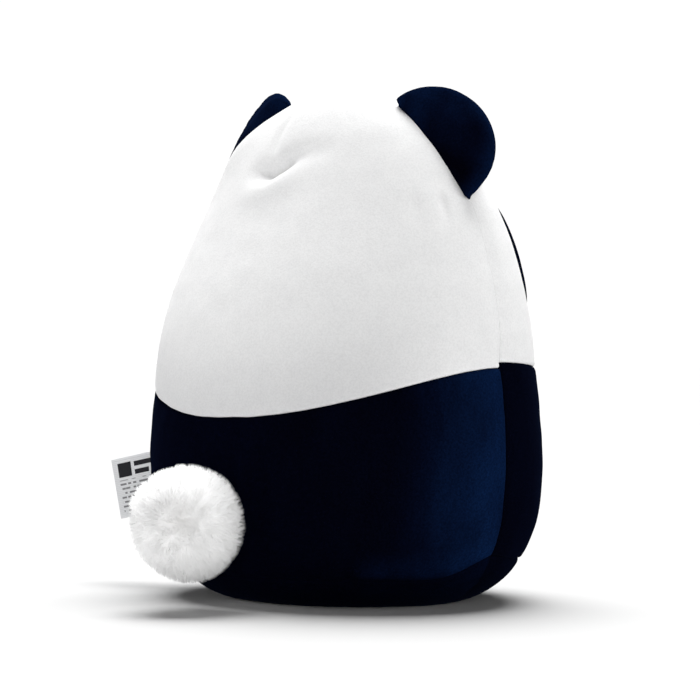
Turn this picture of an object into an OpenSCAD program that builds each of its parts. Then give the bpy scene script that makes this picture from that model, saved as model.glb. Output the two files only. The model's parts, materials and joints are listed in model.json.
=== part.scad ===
// Plush panda: an egg-shaped stuffed toy with a flat base.
// The face looks along -Y, the tail points along +Y, +Z is up, and the origin is
// on the floor under the crown. All sizes are in millimetres.

/* [Body] */
// Height of the stuffed body, from the floor to the crown
body_height = 199; // [150:1:260]
// Half of the widest width, measured at the side seams
half_width = 82.5; // [60:0.5:110]
// Depth behind the side seams at the fullest height
back_depth = 68; // [50:0.5:90]
// Depth in front of the side seams at the fullest height
front_depth = 66.5; // [50:0.5:90]
// Thickness of the short-pile fabric
fabric = 1.6; // [1:0.1:2.5]
// Width of the groove between two sewn panels
seam_gap = 1.2; // [1:0.1:1.6]
// Diameter of the sewing thread
thread = 0.7; // [0.4:0.1:0.8]

/* [Colour line] */
// Height of the white and navy seam on the back panels, at the side seams
waist_side = 90; // [80:0.5:100]
// How far it dips in the middle of the back
waist_dip_back = 19; // [0:0.5:25]
// How much higher the front panels' seam meets the side seams
waist_step = 2; // [0:0.5:4]
// How far the front seam dips in the middle
waist_dip_front = 4; // [0:0.5:20]

/* [Base] */
// Height of the base seam behind
base_seam_back = 10.5; // [8:0.5:14]
// Height of the base seam in front
base_seam_front = 15.5; // [8:0.5:16]
// Height of the corners where the base meets the side seams
base_seam_corner = 19.5; // [16:0.5:22]
// Length of the two short darts that rise from it behind
base_dart = 9.5; // [5:0.5:15]

/* [Ears] */
// Distance of the ear's upper tip from the middle
ear_top_x = 30; // [24:0.5:36]
// Distance of the ear's lower tip from the middle
ear_low_x = 65; // [60:0.5:68]
// How far an ear stands out from the line between its tips
ear_reach = 23; // [18:0.5:30]
// Thickness of a stuffed ear
ear_thickness = 9.5; // [7:0.5:12]
// Forward lean of the ears
ear_lean = 34; // [0:1:40]

/* [Tail] */
// Diameter of the pompom
tail_diameter = 41; // [30:1:46]
// Height of the stitch that holds it
tail_height = 33; // [28:0.5:40]

/* [Label] */
// Width of the ribbon, which is the label's height
label_width = 25; // [15:1:30]
// Length of the folded label outside the seam
label_length = 39; // [20:1:45]
// Height of its middle where it leaves the side seam
label_height = 46; // [40:1:60]
// Droop of the free end
label_droop = 12; // [0:1:15]
// Angle from straight out towards the back
label_swing = 20; // [0:1:60]

/* [Hidden] */

white = [0.93, 0.93, 0.94];
navy = [0.04, 0.06, 0.16];
dark_navy = [0.02, 0.03, 0.09];
fibre = [0.96, 0.96, 0.95];
satin = [0.86, 0.86, 0.87];

side_gap = seam_gap / 2;
air = 0.3;                       // clearance around whatever moves
fill_gap = 1.2;                  // room for darts between fabric and stuffing
half_steps = 20;                 // facets round half of the body
head_rows = 11;
body_rows = 6;
base_rows = 5;

// Each ring of the body's outline: share of the height, of the half width, of the back
// depth and of the front depth. The first ring is the edge of the part that rests.
RINGS = [
    [0,     0.61, 0.61, 0.61],
    [0.015, 0.71, 0.72, 0.72],
    [0.045, 0.82, 0.83, 0.83],
    [0.095, 0.93, 0.93, 0.93],
    [0.17,  0.985, 0.98, 0.98],
    [0.27,  1.00, 1.00, 1.00],
    [0.38,  0.99, 0.98, 0.97],
    [0.49,  0.97, 0.94, 0.93],
    [0.585, 0.935, 0.86, 0.88],
    [0.67,  0.88, 0.735, 0.82],
    [0.755, 0.80, 0.605, 0.72],
    [0.83,  0.705, 0.49, 0.60],
    [0.895, 0.58, 0.395, 0.475],
    [0.95,  0.41, 0.29, 0.34],
    [0.985, 0.225, 0.165, 0.185],
    [1.00,  0,    0,    0]
];
last_ring = len(RINGS) - 1;
crown_t = last_ring - 0.3;       // the panels end in a small flat at the crown

// The outline mirrored past both ends, so that it leaves the floor and meets the crown level.
function ring(i) =
    i < 0 ? [RINGS[1][0], 2 * RINGS[0][1] - RINGS[1][1], 2 * RINGS[0][2] - RINGS[1][2],
             2 * RINGS[0][3] - RINGS[1][3]]
    : i > last_ring ? [RINGS[last_ring - 1][0], -RINGS[last_ring - 1][1],
                       -RINGS[last_ring - 1][2], -RINGS[last_ring - 1][3]]
    : RINGS[i];

function spline(a, b, c, d, f) =
    0.5 * (2 * b + (c - a) * f + (2 * a - 5 * b + 4 * c - d) * f * f
           + (3 * b - a - 3 * c + d) * f * f * f);

// Outline at t, counted in rings: [height, half width, back depth, front depth].
function outline(t) =
    let (i = min(max(floor(t), 0), last_ring - 1),
         r = spline(ring(i - 1), ring(i), ring(i + 1), ring(i + 2), t - i))
    [r[0] * body_height, r[1] * half_width, r[2] * (back_depth - side_gap),
     r[3] * (front_depth - side_gap)];

function t_at(z, low = 0, high = last_ring, left = 20) =
    left == 0 ? (low + high) / 2
    : outline((low + high) / 2)[0] < z ? t_at(z, (low + high) / 2, high, left - 1)
    : t_at(z, low, (low + high) / 2, left - 1);

function unit(v) = v / norm(v);

// Point of the fabric at angle a (0 at +X, 90 at the back) and outline t, sunk by depth
// below the outside. shift moves the front and back halves apart by the side seams' gap.
function depth_of(o, a) = sin(a) >= 0 ? o[2] : o[3];
function skin(a, t, depth, shift) =
    let (o = outline(t), lo = outline(t - 0.02), hi = outline(t + 0.02),
         b = depth_of(o, a), dz = hi[0] - lo[0], da = hi[1] - lo[1],
         db = depth_of(hi, a) - depth_of(lo, a),
         n = unit([b * cos(a) * dz, o[1] * sin(a) * dz,
                   -(o[1] * db * sin(a) * sin(a) + b * da * cos(a) * cos(a))]))
    [o[1] * cos(a), b * sin(a) + shift, o[0]] - depth * n;

function waist_z(a) =
    sin(a) >= 0 ? waist_side - waist_dip_back * pow(sin(a), 1.8)
    : waist_side + waist_step - waist_dip_front * pow(-sin(a), 1.2);
function base_z(a) =
    let (low = sin(a) >= 0 ? base_seam_back : base_seam_front)
    low + (base_seam_corner - low) * pow(abs(cos(a)), 56);

// Two triangles that fill the square a, b, c, d.
function quad(a, b, c, d) = [[a, b, c], [a, c, d]];
function flipped(faces) = [for (f = faces) [f[2], f[1], f[0]]];

// Faces of a sheet of rows by cols squares: an outer side, then an inner side with the same
// points in the same order, closed along the near edge and both ends.
function sheet_faces(rows, cols) =
    let (w = cols + 1, inner = (rows + 1) * w)
    concat(
        [for (i = [0 : rows - 1], j = [0 : cols - 1])
            let (p = i * w + j) each quad(p, p + w, p + w + 1, p + 1)],
        [for (i = [0 : rows - 1], j = [0 : cols - 1])
            let (p = inner + i * w + j) each quad(p, p + 1, p + w + 1, p + w)],
        [for (j = [0 : cols - 1]) each quad(j, j + 1, inner + j + 1, inner + j)],
        [for (i = [0 : rows - 1]) let (p = i * w) each quad(p, inner + p, inner + p + w, p + w)],
        [for (i = [0 : rows - 1])
            let (p = i * w + cols) each quad(p, p + w, inner + p + w, inner + p)]);

// The far edge of a sheet, as a wall.
function far_wall(rows, cols) =
    let (w = cols + 1, inner = (rows + 1) * w)
    [for (j = [0 : cols - 1])
        let (p = rows * w + j) each quad(p, inner + p, inner + p + 1, p + 1)];

// The far edge of a half panel closed over the crown.
function crown_cap(rows, cols) =
    let (w = cols + 1, inner = (rows + 1) * w, r = rows * w)
    concat(
        [for (j = [1 : cols - 1]) each
            [[r, r + j + 1, r + j], [inner + r, inner + r + j, inner + r + j + 1]]],
        [[r, inner + r, inner + r + cols], [r, inner + r + cols, r + cols]]);

module half_panel(start_angle, rows, low_z, high_z, shift, crown) {
    cols = half_steps;
    // Its ends stop just short of the side seams' angles, which belong to the back half.
    grid = [for (depth = [0, fabric], i = [0 : rows], j = [0 : cols])
        let (a = start_angle + min(max(180 * j / cols, 0.001), 179.999),
             lo = t_at(low_z(a)), hi = crown ? crown_t : t_at(high_z(a)))
        skin(a, lo + (hi - lo) * i / rows, depth, shift)];
    faces = concat(sheet_faces(rows, cols), crown ? crown_cap(rows, cols) : far_wall(rows, cols));
    polyhedron(grid, flipped(faces));
}

// A closed ring of fabric or filling: rows of points round the body between two caps.
module barrel(rings) {
    n = len(rings[0]);
    last = len(rings) - 1;
    sides = [for (i = [0 : last - 1], j = [0 : n - 1])
        let (k = (j + 1) % n) each quad(i * n + j, (i + 1) * n + j, (i + 1) * n + k, i * n + k)];
    low = [for (j = [0 : n - 1]) j];
    high = [for (j = [n - 1 : -1 : 0]) last * n + j];
    polyhedron([for (r = rings) each r], concat(sides, [low, high]));
}

module face_panel()
    color(white)
        half_panel(180, head_rows, function(a) waist_z(a) + side_gap, undef, -side_gap, true);
module back_head_panel()
    color(white)
        half_panel(0, head_rows, function(a) waist_z(a) + side_gap, undef, side_gap, true);
module front_body_panel()
    color(navy) half_panel(180, body_rows, function(a) base_z(a) + side_gap,
                           function(a) waist_z(a) - side_gap, -side_gap, false);
module back_body_panel()
    color(navy) half_panel(0, body_rows, function(a) base_z(a) + side_gap,
                           function(a) waist_z(a) - side_gap, side_gap, false);

// The base is one oval piece. Its middle is flat on the floor and its rim rises to the seam.
module base_panel() {
    steps = 2 * half_steps;
    function shift(a) = side_gap * sin(a);
    outer = [for (i = [0 : base_rows]) [for (j = [0 : steps - 1])
        let (a = 360 * j / steps, hi = t_at(base_z(a) - side_gap))
        skin(a, hi * i / base_rows, 0, shift(a))]];
    inner = [for (i = [base_rows : -1 : 0]) [for (j = [0 : steps - 1])
        let (a = 360 * j / steps, hi = t_at(base_z(a) - side_gap))
        skin(a, hi * i / base_rows, fabric, shift(a))]];
    color(navy) barrel(concat(outer, inner));
}

module body_stuffing() {
    steps = 32;
    rows = 16;
    sunk = fabric + fill_gap;
    color(fibre)
        barrel([for (i = [0 : rows]) [for (j = [0 : steps - 1])
            let (a = 360 * j / steps)
            skin(a, 0.05 + (crown_t - 0.05) * i / rows, sunk, side_gap * sin(a))]]);
}

// A thread or cord: a tube through points, each with the direction that is up beside it.
module tube(points, ups, radius, sides = 6) {
    n = len(points);
    barrel([for (i = [0 : n - 1])
        let (along = unit(points[min(i + 1, n - 1)] - points[max(i - 1, 0)]),
             side = unit(cross(along, ups[i])), up = cross(side, along))
        [for (k = [sides - 1 : -1 : 0])
            points[i] + radius * (cos(360 * k / sides) * side + sin(360 * k / sides) * up)]]);
}

// Thread that follows the fabric through angles and outline positions, at one depth.
module seam_tube(route, depth) {
    points = [for (r = route) skin(r[0], r[1], depth, r[2])];
    ups = [for (r = route) skin(r[0], r[1], depth - 1, r[2]) - skin(r[0], r[1], depth, r[2])];
    color(fibre) tube(points, ups, thread / 2);
}

module side_seam_thread() {
    low = t_at(base_seam_corner + 2);
    steps = 22;
    right = [for (i = [0 : steps]) [0, low + (crown_t - low) * i / steps, 0]];
    left = [for (i = [steps : -1 : 0]) [180, low + (crown_t - low) * i / steps, 0]];
    seam_tube(concat(right, left), fabric / 2);
}
module front_waist_thread()
    seam_tube([for (a = [182 : 8 : 358]) [a, t_at(waist_z(a)), -side_gap]], fabric / 2);
module back_waist_thread()
    seam_tube([for (a = [2 : 8 : 178]) [a, t_at(waist_z(a)), side_gap]], fabric / 2);
module base_seam_thread()
    seam_tube([for (a = [90 : 9 : 446]) [a, t_at(base_z(a)), side_gap * sin(a)]], fabric / 2);

// The darts are sewn inside: one down the back from the crown, two up from the base.
dart_depth = fabric + fill_gap / 2;
module crown_dart_thread()
    seam_tube([for (t = [last_ring - 0.9 : -0.4 : t_at(172)]) [90, t, side_gap]], dart_depth);
module base_dart_threads()
    for (a = [45, 135])
        seam_tube([for (z = [base_z(a) + 1.5 : 2 : base_z(a) + base_dart + 0.1])
            [a, t_at(z), side_gap]], dart_depth);

// Hand stitches across the base seam, where the toy was closed after filling.
module closing_stitches()
    for (a = [246 : 4 : 294])
        seam_tube([for (dz = [-1.6 : 0.8 : 1.6]) [a, t_at(base_z(a) + dz), -side_gap]],
                  -thread / 2 - 0.1);

// Point on the outside of the face at x and z, raised by lift.
function face_point(x, z, lift) =
    let (t = t_at(z), o = outline(t), a = 360 - acos(max(-1, min(1, x / o[1]))))
    skin(a, t, -lift, -side_gap);

// A soft or stitched patch laid on the face: an oval about (x, z), turned by tilt, that
// starts at height lift off the fabric and is thick in the middle and edge thick at its rim.
module face_patch(x, z, rx, rz, tilt, lift, thick, edge, steps = 24, rows = 3) {
    function at(r, k) =
        let (u = rx * r * cos(360 * k / steps), v = rz * r * sin(360 * k / steps))
        [x + u * cos(tilt) - v * sin(tilt), z + u * sin(tilt) + v * cos(tilt)];
    function top(r) = lift + edge + (thick - edge) * sqrt(max(0, 1 - r * r));
    under = [for (i = [1 : rows]) [for (k = [0 : steps - 1])
        let (p = at(i / rows, k)) face_point(p[0], p[1], lift)]];
    over = [for (i = [rows : -1 : 1]) [for (k = [0 : steps - 1])
        let (p = at(i / rows, k)) face_point(p[0], p[1], top(i / rows))]];
    barrel(concat(under, over));
}

patch_lift = 0.35;
patch_thick = 1.8;
eye_lift = patch_lift + patch_thick + 0.45;
module eye_patch(side)
    color(navy) face_patch(side * 42, 130, 18.5, 23, side * 16, patch_lift, patch_thick, 1.2);
module eye_white(side)
    color(white) face_patch(side * 37, 131, 6.6, 7.2, 0, eye_lift, 0.5, 0.3, 20, 2);
module pupil(side)
    color([0.02, 0.02, 0.02]) face_patch(side * 36.5, 130.6, 5, 5.6, 0, eye_lift + 0.65, 0.5, 0.3, 16, 2);
module left_eye_patch() eye_patch(1);
module right_eye_patch() eye_patch(-1);
module left_eye_white() eye_white(1);
module right_eye_white() eye_white(-1);
module left_pupil() pupil(1);
module right_pupil() pupil(-1);
module nose()
    color(dark_navy) face_patch(0, 119, 6.5, 4.3, 0, patch_lift, 1.2, 0.5, 20, 2);
module mouth() {
    path = [for (a = [200 : 10 : 340]) [5 * cos(a), 112.5 + 3.2 * sin(a)]];
    points = [for (p = path) face_point(p[0], p[1], 0.6)];
    ups = [for (p = path) face_point(p[0], p[1], 1.6) - face_point(p[0], p[1], 0.6)];
    color(dark_navy) tube(points, ups, 0.45);
}

// Position on the outline where the side seam is x from the middle, above the widest ring.
function t_of_x(x, low = 6, high = last_ring, left = 20) =
    left == 0 ? (low + high) / 2
    : outline((low + high) / 2)[1] > x ? t_of_x(x, (low + high) / 2, high, left - 1)
    : t_of_x(x, low, (low + high) / 2, left - 1);
function side_point(t) = [outline(t)[1], 0, outline(t)[0]];

// An ear is drawn flat: u along its sewn line, v away from the head, w through it.
ear_tip_high = side_point(t_of_x(ear_top_x));
ear_tip_low = side_point(t_of_x(ear_low_x));
ear_mid = (ear_tip_high + ear_tip_low) / 2;
ear_half = norm(ear_tip_low - ear_tip_high) / 2;
ear_along = unit(ear_tip_low - ear_tip_high);
ear_out = [-ear_along[2], 0, ear_along[0]];
// How far the head swells out past the straight line between the tips.
ear_bulge = max([for (t = [t_of_x(ear_low_x) : 0.1 : t_of_x(ear_top_x)])
    (side_point(t) - ear_mid) * ear_out]);
ear_gap = 1.4;                   // room to fold without rubbing the head
ear_pivot = ear_bulge + ear_gap; // the fold runs along the middle of the sewn line
ear_edge = 0.9;                  // half thickness where front and back are sewn together

function ear_flat(k, s) =
    [-ear_half * cos(180 * k), (ear_pivot + (ear_reach - ear_pivot) * s) * sin(180 * k)];
function ear_puff(k, s) = pow(sin(180 * k), 0.6) * pow(sin(180 * (0.02 + 0.96 * s)), 0.8);

// One side of an ear: fabric from near to far from the ear's middle, puffed out by filling.
module ear_sheet(sign, near, far) {
    rows = 5;
    cols = 12;
    puff = ear_thickness / 2 - far;
    grid = [for (w = [far, near], i = [0 : rows], j = [0 : cols])
        let (k = 0.04 + 0.92 * j / cols, s = i / rows, p = ear_flat(k, s))
        [p[0], p[1], sign * (w + puff * ear_puff(k, s))]];
    faces = concat(sheet_faces(rows, cols), far_wall(rows, cols));
    polyhedron(grid, sign > 0 ? flipped(faces) : faces);
}
module ear_filling() {
    rows = 5;
    cols = 10;
    puff = ear_thickness / 2 - ear_edge - 1.3;
    grid = [for (sign = [1, -1], i = [0 : rows], j = [0 : cols])
        let (k = 0.1 + 0.8 * j / cols, s = 0.12 + 0.74 * i / rows, p = ear_flat(k, s))
        [p[0], p[1], sign * (0.1 + puff * ear_puff(k, s))]];
    polyhedron(grid, flipped(concat(sheet_faces(rows, cols), far_wall(rows, cols))));
}
module ear_rim_thread() {
    rim = [for (k = [0.06 : 0.04 : 0.94]) let (p = ear_flat(k, 1)) [p[0], p[1], 0]];
    tube([for (p = rim) p + 0.5 * unit([p[0], p[1] - 2, 0])], [for (p = rim) [0, 0, 1]], thread / 2);
}
// Places a flat ear on the head, leaning forward about its fold.
module on_head(side)
    mirror([side < 0 ? 1 : 0, 0, 0])
        multmatrix([[ear_along[0], ear_out[0], 0, ear_mid[0]],
                    [0, 0, -1, 0],
                    [ear_along[2], ear_out[2], 0, ear_mid[2]],
                    [0, 0, 0, 1]])
            translate([0, ear_pivot, 0]) rotate([ear_lean, 0, 0]) translate([0, -ear_pivot, 0])
                children();

module ear_front(side) color(navy) on_head(side) ear_sheet(1, 0.1, ear_edge);
module ear_back(side) color(navy) on_head(side) ear_sheet(-1, 0.1, ear_edge);
module ear_stuffing(side) color(fibre) on_head(side) ear_filling();
module ear_thread(side) color(dark_navy) on_head(side) ear_rim_thread();
module left_ear_front() ear_front(1);
module left_ear_back() ear_back(1);
module left_ear_stuffing() ear_stuffing(1);
module left_ear_thread() ear_thread(1);
module right_ear_front() ear_front(-1);
module right_ear_back() ear_back(-1);
module right_ear_stuffing() ear_stuffing(-1);
module right_ear_thread() ear_thread(-1);

// The pompom turns about a knotted stitch just behind the fabric.
knot_off = 1.9;                  // from the fabric to the knot's centre
knot_radius = 1.5;
tail_radius = tail_diameter / 2;
tail_out = tail_radius - 4.5;    // from the knot to the pompom's centre
tail_cone = 75;                  // half angle of the space that the pompom keeps to
tail_root = skin(90, t_at(tail_height), 0, side_gap);
tail_knot = [0, tail_root[1] + knot_off, tail_height];
module at_knot() translate(tail_knot) rotate([-90, 0, 0]) children();

module tail_stitch()
    color(fibre) at_knot() union() {
        sphere(r = knot_radius, $fn = 32);
        translate([0, 0, -knot_off + 0.4]) cylinder(r = 0.6, h = knot_off, $fn = 24);
    }
module tail_fur()
    color(white) at_knot() difference() {
        intersection() {
            translate([0, 0, tail_out]) sphere(r = tail_radius, $fn = 48);
            cylinder(r1 = 0.01, r2 = 40 * tan(tail_cone), h = 40, $fn = 48);
        }
        translate([0, 0, tail_out + 2]) sphere(r = tail_radius - 7, $fn = 48);
        sphere(r = knot_radius + air, $fn = 32);
    }
module tail_stuffing()
    color(fibre)
        at_knot() translate([0, 0, tail_out + 2]) sphere(r = tail_radius - 7.5, $fn = 48);

// The label is a folded satin ribbon, sewn into the left side seam.
label_thick = 0.7;
label_edge = outline(t_at(label_height))[1] + 0.6;
module care_label()
    color(satin)
        translate([label_edge, 0, label_height])
            rotate([90, 0, label_swing]) linear_extrude(label_thick, center = true)
                difference() {
                    rotate(-label_droop)
                        translate([-5, -label_width / 2])
                            square([label_length + 5, label_width]);
                    translate([-20, -label_width]) square([20, 2 * label_width]);
                }

face_panel();
back_head_panel();
front_body_panel();
back_body_panel();
base_panel();
body_stuffing();
left_eye_patch();
right_eye_patch();
left_eye_white();
right_eye_white();
left_pupil();
right_pupil();
nose();
mouth();
side_seam_thread();
front_waist_thread();
back_waist_thread();
base_seam_thread();
crown_dart_thread();
base_dart_threads();
closing_stitches();
left_ear_front();
left_ear_back();
left_ear_stuffing();
left_ear_thread();
right_ear_front();
right_ear_back();
right_ear_stuffing();
right_ear_thread();
tail_stitch();
tail_fur();
tail_stuffing();
care_label();
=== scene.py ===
"""Plush panda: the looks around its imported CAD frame.

Lengths are in metres. +Z is up, the face looks along -Y and the tail points along +Y.
The stuffed body is one smooth form, measured from the CAD panels and blown up by a cloth
simulation. Every fabric panel is then laid on that form, with its seams, darts and creases.
"""
import json
import math

import bmesh
import bpy
import numpy as np
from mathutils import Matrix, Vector, noise
from mathutils.bvhtree import BVHTree


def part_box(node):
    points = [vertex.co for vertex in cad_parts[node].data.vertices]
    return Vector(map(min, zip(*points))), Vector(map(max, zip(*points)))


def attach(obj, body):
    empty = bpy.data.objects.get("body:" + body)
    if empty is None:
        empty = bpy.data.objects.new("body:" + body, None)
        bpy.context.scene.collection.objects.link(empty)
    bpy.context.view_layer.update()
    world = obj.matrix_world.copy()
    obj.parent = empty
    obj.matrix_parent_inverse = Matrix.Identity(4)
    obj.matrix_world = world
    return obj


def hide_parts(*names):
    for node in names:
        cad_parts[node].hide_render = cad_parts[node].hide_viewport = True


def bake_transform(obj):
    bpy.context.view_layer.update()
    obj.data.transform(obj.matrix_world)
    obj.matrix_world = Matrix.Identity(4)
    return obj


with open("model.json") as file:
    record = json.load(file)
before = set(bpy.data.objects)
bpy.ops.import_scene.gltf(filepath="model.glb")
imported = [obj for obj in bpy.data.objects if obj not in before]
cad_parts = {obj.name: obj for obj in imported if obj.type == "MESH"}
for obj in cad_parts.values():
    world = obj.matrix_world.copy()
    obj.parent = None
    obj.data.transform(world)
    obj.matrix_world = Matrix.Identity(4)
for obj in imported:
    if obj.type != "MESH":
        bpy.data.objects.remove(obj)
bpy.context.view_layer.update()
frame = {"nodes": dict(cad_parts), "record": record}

MM = 0.001
CENTRE = np.array([0.0, 0.0, 90 * MM])  # every ray that looks for the body's surface meets here
UP = np.array([0.0, 0.0, 1.0])
LABEL_LENGTH = 39 * MM   # from the seam to the fold
LABEL_WIDTH = 25 * MM

# ---------------------------------------------------------------- mesh helpers


def unit(v):
    """Vectors scaled to length 1."""
    v = np.asarray(v, float)
    return v / np.maximum(np.linalg.norm(v, axis=-1, keepdims=True), 1e-12)


def smoothstep(x, low=0.0, high=1.0):
    """0 below low, 1 above high, and a smooth rise between."""
    t = np.clip((np.asarray(x, float) - low) / (high - low), 0, 1)
    return t * t * (3 - 2 * t)


def mesh_object(name, points, faces, slot=None, weld=0.0):
    """A smooth-shaded mesh object in a slot's finish. weld joins points closer than that."""
    mesh = bpy.data.meshes.new(name)
    mesh.from_pydata(np.asarray(points, float).tolist(), [], [list(map(int, f)) for f in faces])
    if weld:
        shape = bmesh.new()
        shape.from_mesh(mesh)
        bmesh.ops.remove_doubles(shape, verts=shape.verts, dist=weld)
        bmesh.ops.dissolve_degenerate(shape, edges=shape.edges, dist=weld)
        shape.to_mesh(mesh)
        shape.free()
    mesh.validate()
    mesh.polygons.foreach_set("use_smooth", [True] * len(mesh.polygons))
    piece = bpy.data.objects.new(name, mesh)
    bpy.context.scene.collection.objects.link(piece)
    if slot:
        mesh.materials.append(FINISHES[slot])
    return piece


def coordinates(mesh):
    """A mesh's points as an array."""
    flat = np.empty(3 * len(mesh.vertices))
    mesh.vertices.foreach_get("co", flat)
    return flat.reshape(-1, 3)


def grid_faces(rows, columns, wrap=False):
    """Faces of a grid of points, rows by columns. wrap closes each row into a ring."""
    i, j = np.meshgrid(np.arange(rows - 1), np.arange(columns if wrap else columns - 1), indexing="ij")
    k = (j + 1) % columns
    a, b = i * columns + j, i * columns + k
    c, d = b + columns, a + columns
    return np.stack([a, b, c, d], axis=-1).reshape(-1, 4)


def grid_normals(grid, wrap=False):
    """Unit normal at each point of a grid, on the side that its faces look to."""
    if wrap:
        around = np.roll(grid, -1, axis=1) - np.roll(grid, 1, axis=1)
    else:
        around = np.gradient(grid, axis=1)
    normals = unit(np.cross(around, np.gradient(grid, axis=0)))
    # A row that closes to one point takes the direction of its neighbours.
    for end, beside in ((0, 1), (-1, -2)):
        if np.ptp(grid[end], axis=0).max() < 0.001 * MM:
            normals[end] = unit(normals[beside].mean(axis=0))
    return normals


def shell_mesh(name, grid, thickness, slot, wrap=False):
    """A sheet of fabric with an inner side. The grid is rows x columns x 3."""
    rows, columns = grid.shape[:2]
    inner = grid - thickness * grid_normals(grid, wrap)
    count = rows * columns
    outer_faces = grid_faces(rows, columns, wrap)
    faces = [outer_faces, outer_faces[:, ::-1] + count]
    j = np.arange(columns if wrap else columns - 1)
    k = (j + 1) % columns
    last = (rows - 1) * columns
    faces.append(np.stack([k, j, j + count, k + count], axis=-1))
    faces.append(np.stack([last + j, last + k, last + k + count, last + j + count], axis=-1))
    if not wrap:
        i = np.arange(rows - 1) * columns
        far = i + columns - 1
        faces.append(np.stack([i, i + columns, i + columns + count, i + count], axis=-1))
        faces.append(np.stack([far + columns, far, far + count, far + columns + count], axis=-1))
    points = np.concatenate([grid.reshape(-1, 3), inner.reshape(-1, 3)])
    return mesh_object(name, points, np.concatenate(faces), slot, weld=0.02 * MM)


def tube_mesh(paths, radius, sides=6):
    """Points and faces of round threads along paths, closed at both ends."""
    points, faces = [], []
    for path in paths:
        path = np.asarray(path, float)
        along = unit(np.gradient(path, axis=0))
        side = unit(np.cross(along, np.where(np.abs(along[:, 2:]) > 0.9, [[1.0, 0, 0]], UP)))
        top = np.cross(side, along)
        turn = np.linspace(0, 2 * math.pi, sides, endpoint=False)[None, :, None]
        ring = radius * (np.cos(turn) * side[:, None] + np.sin(turn) * top[:, None])
        start = sum(len(p) for p in points)
        points.append((path[:, None] + ring).reshape(-1, 3))
        faces += (grid_faces(len(path), sides, wrap=True) + start).tolist()
        faces.append(list(range(start, start + sides)))
        faces.append(list(range(start + len(path) * sides - 1, start + (len(path) - 1) * sides - 1, -1)))
    return np.concatenate(points), faces


def crowded(count, ends=2):
    """Values from 0 to 1 that lie closer together at both ends, or only near 0."""
    t = np.linspace(0, 1, count)
    return t - 0.84 * np.sin(ends * math.pi * t) / (ends * math.pi)


def noise_at(points, size, seed=0.0):
    """Smooth noise from about -1 to 1 whose lumps are about size across."""
    size = np.asarray(size, float)
    return np.array([noise.noise(Vector(p)) for p in points / size + seed])


def path_distance(points, path):
    """Distance of points from a path, and how far along it, in metres, the nearest place is."""
    best = np.full(len(points), np.inf)
    where = np.zeros(len(points))
    walked = 0.0
    for a, b in zip(path[:-1], path[1:]):
        step = b - a
        length = np.linalg.norm(step)
        share = np.clip((points - a) @ step / max(length**2, 1e-12), 0, 1)
        away = np.linalg.norm(points - a - share[:, None] * step, axis=1)
        nearer = away < best
        best[nearer] = away[nearer]
        where[nearer] = walked + share[nearer] * length
        walked += length
    return best, where


def walked(path):
    """How far along a path each of its points is."""
    return np.concatenate([[0], np.cumsum(np.linalg.norm(np.diff(path, axis=0), axis=1))])


def along_path(path, places):
    """The points of a path at some distances along it."""
    steps = walked(path)
    return np.stack([np.interp(places, steps, path[:, k]) for k in range(3)], axis=-1)


def paint(piece, values):
    """Stores painted light and shade, and plain tones, from 0 to 1 at each point, for materials to read."""
    layer = piece.data.color_attributes.new(name="painted_shading_and_tone", type="FLOAT_COLOR", domain="POINT")
    values = np.clip(values, 0, 1)
    layer.data.foreach_set("color", np.stack([values] * 3 + [np.ones_like(values)], axis=-1).ravel())


# ---------------------------------------------------------------- materials


def emptied(tree):
    """A function that adds nodes to a node tree, which is emptied first."""
    tree.nodes.clear()

    def add(kind, inputs=None, **settings):
        made = tree.nodes.new(kind)
        for key, value in settings.items():
            setattr(made, key, value)
        for key, value in (inputs or {}).items():
            if isinstance(value, bpy.types.NodeSocket):
                tree.links.new(value, made.inputs[key])
            else:
                made.inputs[key].default_value = value
        return made

    return add


def new_material(name):
    """A material, and the function that adds nodes to it."""
    material = bpy.data.materials.new(name)
    material.use_nodes = True
    return material, emptied(material.node_tree)


def object_place(add, stretch=(1, 1, 1)):
    """The point on the object, in metres, stretched along each axis."""
    place = add("ShaderNodeTexCoord").outputs["Object"]
    return add("ShaderNodeMapping", {"Vector": place, "Scale": stretch}).outputs["Vector"]


def grain(add, scale, detail=2.0, roughness=0.5, stretch=(1, 1, 1)):
    """Noise over the object: about scale lumps in a metre."""
    return add(
        "ShaderNodeTexNoise",
        {"Vector": object_place(add, stretch), "Scale": scale, "Detail": detail, "Roughness": roughness},
    ).outputs["Fac"]


def ramp(add, factor, stops):
    """A colour ramp through (place, colour) stops."""
    made = add("ShaderNodeValToRGB", {"Fac": factor})
    elements = made.color_ramp.elements
    elements[0].position, elements[0].color = stops[0][0], (*stops[0][1], 1)
    elements[1].position, elements[1].color = stops[-1][0], (*stops[-1][1], 1)
    for place, colour in stops[1:-1]:
        elements.new(place).color = (*colour, 1)
    return made.outputs["Color"]


def mix(add, factor, a, b, blend="MIX"):
    """Two colours mixed."""
    made = add("ShaderNodeMix", data_type="RGBA", blend_type=blend)
    sockets = made.inputs
    tree = made.id_data
    for socket, value in ((sockets[0], factor), (sockets[6], a), (sockets[7], b)):
        if isinstance(value, bpy.types.NodeSocket):
            tree.links.new(value, socket)
        elif isinstance(value, (tuple, list)):
            socket.default_value = (*value, 1)
        else:
            socket.default_value = value
    return made.outputs[2]


def bump(add, height, strength, distance, under=None):
    """A bump normal, over another one if given."""
    inputs = {"Height": height, "Strength": strength, "Distance": distance}
    if under is not None:
        inputs["Normal"] = under
    return add("ShaderNodeBump", inputs).outputs["Normal"]


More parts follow.
